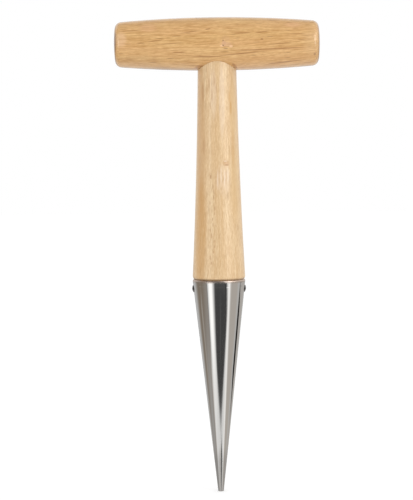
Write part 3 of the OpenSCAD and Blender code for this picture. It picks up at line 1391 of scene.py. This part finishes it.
@dataclass
class Stem:
    """The turned stem: a plug in the cone, a rounded foot, a hollow flare and a tenon."""

    bar: Crossbar
    cone: SteelCone
    nails: Nails
    top_radius: float = 11.8 * MM
    hollow: float = 0.55 * MM
    rim_step: float = 0.15 * MM
    foot_round: float = 3 * MM
    foot_height: float = 2.2 * MM
    plug_gap: float = 0.05 * MM
    plug_chamfer: float = 1 * MM
    cope_gap: float = 0.12 * MM
    tenon_radius: float = 7 * MM
    tenon_chamfer: float = 0.8 * MM
    foot_steps: int = 12
    flare_steps: int = 72
    dash: Colour = screen(176, 122, 74)
    silk_and_sheen: Colour = screen(249, 229, 206)
    mark_depth: float = 8 * MM
    dash_half_width: float = 0.42
    dash_grain: float = 0.3
    dash_seed: int = 5
    dash_count: int = 15
    dash_top: float = 188
    dash_pitch: float = 3.3
    dash_right: float = -3.6
    dash_spread: float = 1.6
    dash_halves: Range = (1.1, 2.2)
    dash_strength: float = 0.5
    stripe_count: int = 9
    stripe_half_width: float = 0.45
    stripe_half_height: float = 7
    stripe_start: float = -1.4
    stripe_pitch: float = 1.05
    stripe_z: float = 193
    stripe_jog: float = 1.4
    plug_z: float = field(init=False)
    tenon_z: float = field(init=False)

    def __post_init__(self) -> None:
        """Take the heights of both ends from the frame."""
        low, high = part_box("stem")
        self.plug_z = low.z
        self.tenon_z = high.z

    def plug(self) -> Outline:
        """Draw the outline of the tapered plug.

        Returns:
            The points from its end to the rim.
        """
        inset = self.cone.sheet_across + self.plug_gap
        chamfer_z = self.plug_z + self.plug_chamfer
        return [
            (0, self.plug_z),
            (self.cone.outer_radius(self.plug_z) - inset - self.plug_chamfer, self.plug_z),
            (self.cone.outer_radius(chamfer_z) - inset, chamfer_z),
            (self.cone.rim_radius - inset, self.cone.rim_z),
        ]

    def side(self) -> Outline:
        """Draw the outline of what shows.

        Returns:
            The points of the rounded foot, then of the hollow flare that touches it.
        """
        base = Vector((self.cone.rim_radius - self.rim_step, self.cone.rim_z + self.foot_height))
        top = Vector((self.top_radius, self.bar.underside_z))
        chord = (top - base).length
        along = (top - base) / chord
        outward = Vector((along.y, -along.x))
        flare_radius = arc_radius(chord, self.hollow)
        flare = Circle((base + top) / 2 + outward * (flare_radius - self.hollow), flare_radius)
        base_angle = flare.heading(base)
        foot_angle = base_angle - math.pi
        inward = Vector((math.cos(foot_angle), math.sin(foot_angle)))
        foot = Circle(base - self.foot_round * inward, self.foot_round)
        foot_start = math.asin((self.cone.rim_z - foot.centre.y) / self.foot_round)
        return (
            foot.arc(foot_start, foot_angle, self.foot_steps)
            + flare.arc(base_angle, flare.heading(top), self.flare_steps)[1:]
        )

    def tenon(self) -> Piece:
        """Turn the round tenon.

        Returns:
            The tenon, which starts inside the stem's body.
        """
        start = self.bar.underside_z - CUTTER_OVERRUN
        shoulder = self.tenon_z - self.tenon_chamfer
        return Lathe().turn("tenon", [
            (0, start), (self.tenon_radius, start), (self.tenon_radius, shoulder),
            (self.tenon_radius - self.tenon_chamfer, self.tenon_z), (0, self.tenon_z),
        ])

    def build(self) -> Piece:
        """Model the stem.

        Returns:
            The stem, coped to fit round the crossbar's underside.
        """
        above = [(self.top_radius, self.bar.axis_z), (0, self.bar.axis_z)]
        piece = Lathe().turn("stem_turned", self.plug() + self.side() + above)
        work(piece, self.bar.turned("cope_cutter", self.cope_gap), Cut.TAKE_AWAY)
        work(piece, self.tenon(), Cut.JOIN)
        work(piece, self.bar.pin_hole(), Cut.TAKE_AWAY)
        for side in Side:
            work(piece, self.nails.drill(side, self.nails.shank_radius), Cut.TAKE_AWAY)
        smooth(piece)
        return piece

    def patch(
        self, right: float, z: float, wide: float, tall: float, colour: Colour, strength: float,
        grain: float = 0.4,
    ) -> Mark:
        """Return a soft patch of colour on the front. Lengths are in millimetres.

        Args:
            right: Where it is, right of the axis.
            z: Where it is, above the tip.
            wide: Half its width.
            tall: Half its height.
            colour: Its colour.
            strength: How strong it is.
            grain: How far the fibres break it up.

        Returns:
            The mark.
        """
        share = (z * MM - self.cone.rim_z) / (self.bar.underside_z - self.cone.rim_z)
        radius = self.cone.rim_radius + (self.top_radius - self.cone.rim_radius) * share
        centre = (right * MM, -math.sqrt(radius ** 2 - (right * MM) ** 2), z * MM)
        radii = (wide * MM, self.mark_depth, tall * MM)
        return Mark(centre, radii, colour, strength, grain=grain)

    def dart(self, right: float, z: float, half: float, strength: float) -> Mark:
        """Return a short dark dash along the grain, by its place and half its length."""
        width = self.dash_half_width
        return self.patch(right, z, width, half, self.dash, strength, self.dash_grain)

    def dash_row(self) -> list[Mark]:
        """Scatter a row of dashes down the left of the middle.

        Returns:
            The marks.
        """
        chance = random.Random(self.dash_seed)
        row = []
        for i in range(self.dash_count):
            right = self.dash_right + chance.uniform(-self.dash_spread, self.dash_spread)
            half = chance.uniform(*self.dash_halves)
            row.append(self.dart(right, self.dash_top - self.dash_pitch * i, half, self.dash_strength))
        return row

    def stripe(self, number: int) -> Mark:
        """Return one of the fine stripes below the knot.

        They are dark and pale by turns, and stand higher and higher in groups of four.

        Args:
            number: Its number from the left.

        Returns:
            The mark.
        """
        jog = number % 4 - 1.5
        colour, strength = ((self.dash, 0.25), (self.silk_and_sheen, 0.5))[number % 2]
        return self.patch(
            self.stripe_start + self.stripe_pitch * number, self.stripe_z + self.stripe_jog * jog,
            self.stripe_half_width, self.stripe_half_height, colour, strength, grain=0,
        )

    def marks(self) -> tuple[Mark, ...]:
        """List all that sets this piece of wood apart, with the painted shade and highlights laid on
        it.

        Returns:
            The marks, each of which lies over the last.
        """
        honey_shade = screen(206, 160, 106)
        amber = screen(206, 152, 80)
        gold_shade = screen(224, 188, 134)
        knot = screen(206, 158, 108)
        patch, dart, silk_and_sheen, dash = self.patch, self.dart, self.silk_and_sheen, self.dash
        return (
            # Darker sides: painted shade on both flanks, mixed with the wood's golden tone and a few
            # darker streaks
            patch(-10.4, 216, 3.6, 62, honey_shade, 0.55),
            patch(-11.4, 160, 5.4, 46, amber, 0.6),
            patch(9.6, 236, 3.4, 24, gold_shade, 0.6, grain=0.3),
            patch(10.4, 190, 4.2, 30, gold_shade, 0.5, grain=0.3),
            patch(8, 235.5, 0.6, 5.5, amber, 0.7),
            patch(7.2, 242, 0.7, 5, amber, 0.4),
            patch(9.2, 212, 1.4, 14, amber, 0.35, grain=0.5),
            patch(-8.7, 245, 0.9, 8, dash, 0.4),
            patch(-8.4, 212, 1.2, 7, dash, 0.3, grain=0.5),
            # Silky patches, the upper two also painted highlights beside the middle; the lowest is
            # striped
            patch(2.6, 240, 2.2, 30, silk_and_sheen, 0.35, grain=0.5),
            patch(-2.4, 244, 2.6, 20, silk_and_sheen, 0.3, grain=0.6),
            patch(3, 192, 6, 12, silk_and_sheen, 0.25, grain=0.9),
            *(self.stripe(number) for number in range(self.stripe_count)),
            # A small knot, with a dark line below it and a pale one above
            patch(4.6, 202, 2.6, 2.2, knot, 0.5, grain=0),
            patch(5.3, 200.9, 1.6, 0.6, dash, 0.6, grain=0),
            patch(4.4, 203.2, 1.2, 0.5, silk_and_sheen, 0.4, grain=0),
            # Dashes
            dart(-5, 250, half=5, strength=0.55),
            dart(-3.3, 243, half=6, strength=0.5),
            dart(-1.9, 252, half=6, strength=0.45),
            dart(-0.6, 247, half=4, strength=0.4),
            dart(-6.3, 247, half=5, strength=0.35),
            dart(-4.4, 237, half=3, strength=0.4),
            dart(-4.5, 193.8, half=1.6, strength=0.8),
            *self.dash_row(),
            # Painted shade: a dark line all round where the foot meets the steel
            Mark((0, 0, self.cone.rim_z), mm(60, 60, 1.2), screen(122, 88, 52), 0.6),
        )

    def dress(self, piece: Piece) -> None:
        """Finish the stem in paler, straighter hardwood.

        Args:
            piece: The stem.
        """
        wood = TurnedWood(
            name="stem_hardwood",
            grain=Axis.Z,
            pith=mm(60, 84, 0),
            pale=screen(251, 226, 184),
            dark=screen(200, 158, 106),
            late_wood=screen(214, 172, 118),
            blush=screen(243, 208, 160),
            pore=screen(150, 104, 60),
            streak=0.42,
            line=0.2,
            band=0.5,
            streak_width=0.85 * MM,
            streak_length=9 * MM,
            short_streak=0.3,
            fibre=0.5,
            mottle=0.16,
            fibre_length=2.4 * MM,
            spread=4.3,
            sway=7 * MM,
            ring_width=12 * MM,
            ring=0.25,
            marks=self.marks(),
            coat=0.55,
        )
        dress(piece, wood.build(), Slot.STEM_WOOD, "stem")


@dataclass
class PinFiller:
    """The putty over the sunk pin: a plug in the mouth of the pin's hole."""

    bar: Crossbar
    dish: float = 0.06 * MM
    dish_inset: float = 0.4
    front_margin: float = 0.2 * MM
    speck: Colour = screen(112, 72, 44)
    speck_radii: Triple = mm(0.5, 0.5, 0.5)
    speck_strength: float = 0.8
    speck_right: float = 3.7 * MM
    speck_heights: Range = mm(0.85, -2)

    def build(self) -> Piece:
        """Model the putty.

        Returns:
            The putty, with a slightly dished face that follows the crossbar.
        """
        low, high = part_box("pin_filler")
        radius = (high.x - low.x) / 2
        middle = (low + high) / 2
        front = self.bar.radius + CUTTER_OVERRUN
        outline = [(0, -high.y), (radius, -high.y), (radius, front), (0, front)]
        piece = Lathe(segments=SMALL_SEGMENTS).turn("filler_putty", outline)
        settle(piece, towards_front(middle))
        work(piece, self.bar.turned("filler_form"), Cut.KEEP_SHARED)
        self.sink_face(piece, middle.y - self.front_margin, radius * self.dish_inset)
        smooth(piece)
        return piece

    def sink_face(self, piece: Piece, front: float, inset: float) -> None:
        """Inset the face that shows and push its middle in, as drying putty shrinks.

        Args:
            piece: The putty.
            front: The place along Y in front of which the face lies.
            inset: How far the sunk middle stays inside the edge.
        """
        take(piece)
        bpy.ops.object.mode_set(mode="EDIT")
        select_where(piece, lambda vertex: vertex.co.y < front)
        bpy.ops.mesh.inset(thickness=inset, depth=-self.dish)
        bpy.ops.object.mode_set(mode="OBJECT")

    def dress(self, piece: Piece) -> None:
        """Finish the putty, with two dark specks.

        Args:
            piece: The putty.
        """
        centres = [
            (self.speck_right, -self.bar.radius, self.bar.axis_z + up) for up in self.speck_heights
        ]
        specks = [Mark(c, self.speck_radii, self.speck, self.speck_strength) for c in centres]
        dress(piece, Putty("wood_putty", tuple(specks)).build(), Slot.WOOD_FILLER, "pin_filler")


def dress_pin() -> None:
    """Give the hidden pin, whose solid is right as it is, a nail's steel with less black."""
    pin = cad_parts["grip_pin"]
    pin.data.materials.clear()
    pin.data.materials.append(DarkSteel("pin_steel", colour=screen(140, 138, 134)).build())
    LOG.info("grip_pin: the frame's own solid, in steel")


# Studio


@dataclass(frozen=True)
class Panel:
    """Something in the studio that the steel mirrors, as seen from the dibber.

    Angles are in degrees. Azimuth 0 is towards the camera and 90 to its right, and heights
    are above the horizon. A panel widens by its spread for each degree below its top.
    """

    name: str
    azimuth: float
    half_width: float
    softness: float
    colour: Colour
    low: float = STRAIGHT_DOWN
    high: float = STRAIGHT_UP
    fade: float = 0.5
    spread: float = 0.0

    def mask(self, graph: Graph, azimuth: Value, height: Value) -> Socket:
        """Add the nodes that find the panel.

        Args:
            graph: The world's nodes.
            azimuth: The azimuth of the direction looked in.
            height: Its height above the horizon.

        Returns:
            1 inside the panel and 0 outside, with soft sides.
        """
        aside = graph.math("WRAP", graph.math("SUBTRACT", azimuth, self.azimuth), 180, -180)
        aside = graph.math("ABSOLUTE", aside)
        if self.spread:
            depth = graph.math("SUBTRACT", self.high, height)
            aside = graph.math("MULTIPLY_ADD", depth, -self.spread, aside)
        soft = self.softness / 2
        inside = graph.fade(aside, self.half_width - soft, self.half_width + soft)
        if self.low > STRAIGHT_DOWN:
            above = graph.remap(height, self.low, self.low + self.fade)
            inside = graph.math("MULTIPLY", inside, above)
        if self.high < STRAIGHT_UP:
            below = graph.fade(height, self.high - self.fade, self.high)
            inside = graph.math("MULTIPLY", inside, below)
        return inside


@dataclass(frozen=True)
class Lamp:
    """A soft rectangular lamp that faces the dibber, with its angles in degrees."""

    name: str
    azimuth: float
    height: float
    distance: float
    width: float
    tallness: float
    power: float


@dataclass
class Studio:
    """A white room with a pale floor, soft lamps and the panels that the steel mirrors.

    The table in front has a sloping far edge: table_edge and table_tilt say how steeply the
    line of sight to it falls ahead and to the right.
    """

    plain_level: float = 0.9
    target: Triple = (0, 0, 0.17)
    floor_size: float = 12.0
    floor_colour: Colour = grey(0.86)
    floor_lift: float = 0.24
    backdrop: Colour = grey(0.56)
    behind_table: tuple[Panel, ...] = (
        Panel("far_wall_foot", 183, 12, 16, grey(0.125), low=-12.7, high=-3.7, fade=0.6),
        Panel("left_wall", -89, 37.5, 32, grey(0.21, 0.2)),
        Panel("left_floor", -96, 37.5, 1, grey(0.39, 0.03), high=-13.4, fade=4.5),
        Panel("left_skirting", -98, 5, 4.5, grey(0.35, 0.1), low=-16, high=-12.8, fade=0.2),
        Panel("left_curtain", -63, 8, 30, grey(0.3, 0.1)),
        Panel("right_wall", 73.5, 22, 18.5, grey(0.47, 0.08)),
        Panel("right_corner", 131, 26.5, 8.5, grey(0.48, 0.05)),
        Panel("dark_room", -4.7, 53.8, 2.2, grey(0.065)),
        Panel("room_floor", 3, 22, 10, grey(0.11), low=-16.8, high=-10, fade=0.2),
        Panel("left_bench", -56.4, 6, 12, grey(0.73, 0.03), high=-17, fade=1.5),
        Panel("white_wall", 180, 78, 16, grey(0.85), low=-3.4, fade=1.2),
        Panel("table_behind", 180, 50, 16, grey(0.85), high=-16),
        Panel("ceiling", 0, 180, 0.5, grey(0.3), low=30, fade=35),
        Panel("softbox", 50, 32, 8, grey(2.1), low=7, high=45, fade=3),
    )
    table: Panel = Panel("table_front", -2, 53, 2, grey(0.85))
    table_edge: float = 0.394
    table_tilt: float = 0.021
    table_softness: float = 0.014
    before_table: tuple[Panel, ...] = (
        Panel("table_near", -1, 56.4, 1, grey(0.63, 0.04), high=-22.3, fade=0.2),
        Panel("left_card", -39.7, 14, 16, grey(0.99), low=-21.5, high=-9, fade=1.6),
        Panel("left_card_glow", -41, 7.7, 5.3, grey(1.35), low=-20, high=-9, fade=3),
        Panel("right_card", 47, 5.4, 16, grey(1.08, 0.02), high=-9),
        Panel("right_card_glow", 41.5, 7, 3.4, grey(1.44), low=-17, high=-9, fade=2.5),
        Panel("tripod_leg", 5, 2.6, 0.8, grey(0.09), low=-19.9, high=-16.8, fade=0.7),
        Panel("dark_cloth", 115, 5.5, 4.5, grey(0.005), low=-15.1, high=-10.9, spread=1.2),
        Panel("dark_foot", 15, 3.2, 2.7, grey(0.006), low=-24.1, high=-21.7, fade=0.9, spread=7),
    )
    lamps: tuple[Lamp, ...] = (
        Lamp("right_lamp", 44, 12, distance=1.7, width=0.55, tallness=1.1, power=5.2),
        Lamp("left_lamp", -44, 12, distance=1.7, width=0.35, tallness=1.1, power=2.5),
    )

    def build(self) -> None:
        """Make the world, the lamps and the floor."""
        self.build_world()
        for lamp in self.lamps:
            self.hang(lamp)
        self.lay_floor()
        panels = (*self.behind_table, self.table, *self.before_table)
        LOG.info("studio: %d lamps, mirrored %s", len(self.lamps), [panel.name for panel in panels])

    def build_world(self) -> None:
        """Light the room plainly, show white behind, and let the steel mirror the studio."""
        world = bpy.data.worlds.new("studio")
        bpy.context.scene.world = world
        world.use_nodes = True
        world.cycles.sampling_method = "NONE"
        graph = Graph(world.node_tree)
        path = graph.add("ShaderNodeLightPath").outputs
        seen = graph.math("MAXIMUM", path["Is Camera Ray"], path["Is Transmission Ray"])
        light = graph.mix(path["Is Glossy Ray"], grey(self.plain_level), self.mirrored(graph))
        light = graph.mix(seen, light, grey(1.0))
        graph.feed(world.node_tree.nodes["Background"].inputs["Color"], light)

    def mirrored(self, graph: Graph) -> Socket:
        """Find the colour that a mirroring surface sees in each direction.

        Args:
            graph: The world's nodes.

        Returns:
            The colour of the backdrop, table and panels.
        """
        direction = graph.add("ShaderNodeTexCoord").outputs["Generated"]
        x, y, z = graph.split(direction)
        azimuth = graph.math("DEGREES", graph.math("ARCTAN2", x, graph.math("MULTIPLY", y, -1)))
        height = graph.math("DEGREES", graph.math("ARCSINE", z))
        sight = graph.vector("DOT_PRODUCT", direction, (-self.table_tilt, self.table_edge, -1))
        on_table = graph.remap(sight, -self.table_softness, self.table_softness)
        colour: Value = self.backdrop
        for panel in (*self.behind_table, self.table, *self.before_table):
            mask = panel.mask(graph, azimuth, height)
            if panel is self.table:
                mask = graph.math("MULTIPLY", mask, on_table)
            colour = graph.mix(mask, colour, panel.colour)
        return colour

    def hang(self, lamp: Lamp) -> None:
        """Hang a lamp where the steel, which mirrors only what is low, doesn't show it.

        Args:
            lamp: The lamp.
        """
        turn = math.radians(lamp.azimuth)
        rise = math.radians(lamp.height)
        level = math.cos(rise)
        away = Vector((math.sin(turn) * level, -math.cos(turn) * level, math.sin(rise)))
        bpy.ops.object.light_add(
            type="AREA",
            location=Vector(self.target) + away * lamp.distance,
            rotation=away.to_track_quat("Z", "Y").to_euler(),
        )
        light = bpy.context.object
        light.name = lamp.name
        light.data.shape = "RECTANGLE"
        light.data.size = lamp.width
        light.data.size_y = lamp.tallness
        light.data.energy = lamp.power
        light.visible_camera = False

    def lay_floor(self) -> None:
        """Lay the pale floor, which the camera sees as white and which keeps the shadow."""
        bpy.ops.mesh.primitive_plane_add(size=self.floor_size, location=(0, 0, 0))
        floor = bpy.context.object
        floor.name = "floor"
        floor.visible_glossy = False
        material = bpy.data.materials.new("floor_white")
        material.use_nodes = True
        graph = Graph(material.node_tree)
        graph.tree.nodes.remove(graph.tree.nodes["Principled BSDF"])
        matt = graph.add("ShaderNodeBsdfDiffuse", {"Color": self.floor_colour})
        seen = graph.add("ShaderNodeLightPath").outputs["Is Camera Ray"]
        lift = graph.math("MULTIPLY", seen, self.floor_lift)
        glow = graph.add("ShaderNodeEmission", {"Color": grey(1.0), "Strength": lift})
        both = graph.add("ShaderNodeAddShader", (matt.outputs[0], glow.outputs[0]))
        graph.feed(graph.tree.nodes["Material Output"].inputs["Surface"], both.outputs[0])
        floor.data.materials.append(material)


@dataclass
class CameraView:
    """The camera that takes the photograph's view, 1 m in front of the dibber."""

    location: Triple = (-0.0075, -1.0, 0.2)
    look_down: float = math.radians(2.919)
    roll: float = math.radians(-0.57)
    lens: float = 117.65
    sensor: float = 36.0

    def build(self) -> None:
        """Make the camera and let the scene use it."""
        bpy.ops.object.camera_add(location=self.location)
        camera = bpy.context.object
        camera.name = "camera"
        aim = Matrix.Rotation(math.pi / 2 - self.look_down, 3, "X")
        camera.rotation_euler = (aim @ Matrix.Rotation(self.roll, 3, "Z")).to_euler()
        camera.data.lens = self.lens
        camera.data.sensor_width = self.sensor
        bpy.context.scene.camera = camera


def main() -> None:
    """Make the view, the studio and the pieces in order, and report each."""
    logging.basicConfig(level=logging.INFO, format="%(name)s: %(message)s")
    bpy.context.scene.view_settings.view_transform = "Standard"
    CameraView().build()
    Studio().build()
    bar = Crossbar()
    cone = SteelCone()
    nails = Nails(cone)
    stem = Stem(bar, cone, nails)
    filler = PinFiller(bar)
    bar.dress(bar.build())
    stem.dress(stem.build())
    cone.dress(cone.build(nails))
    nails.dress(nails.build())
    filler.dress(filler.build())
    dress_pin()


if __name__ == "__main__":
    main()
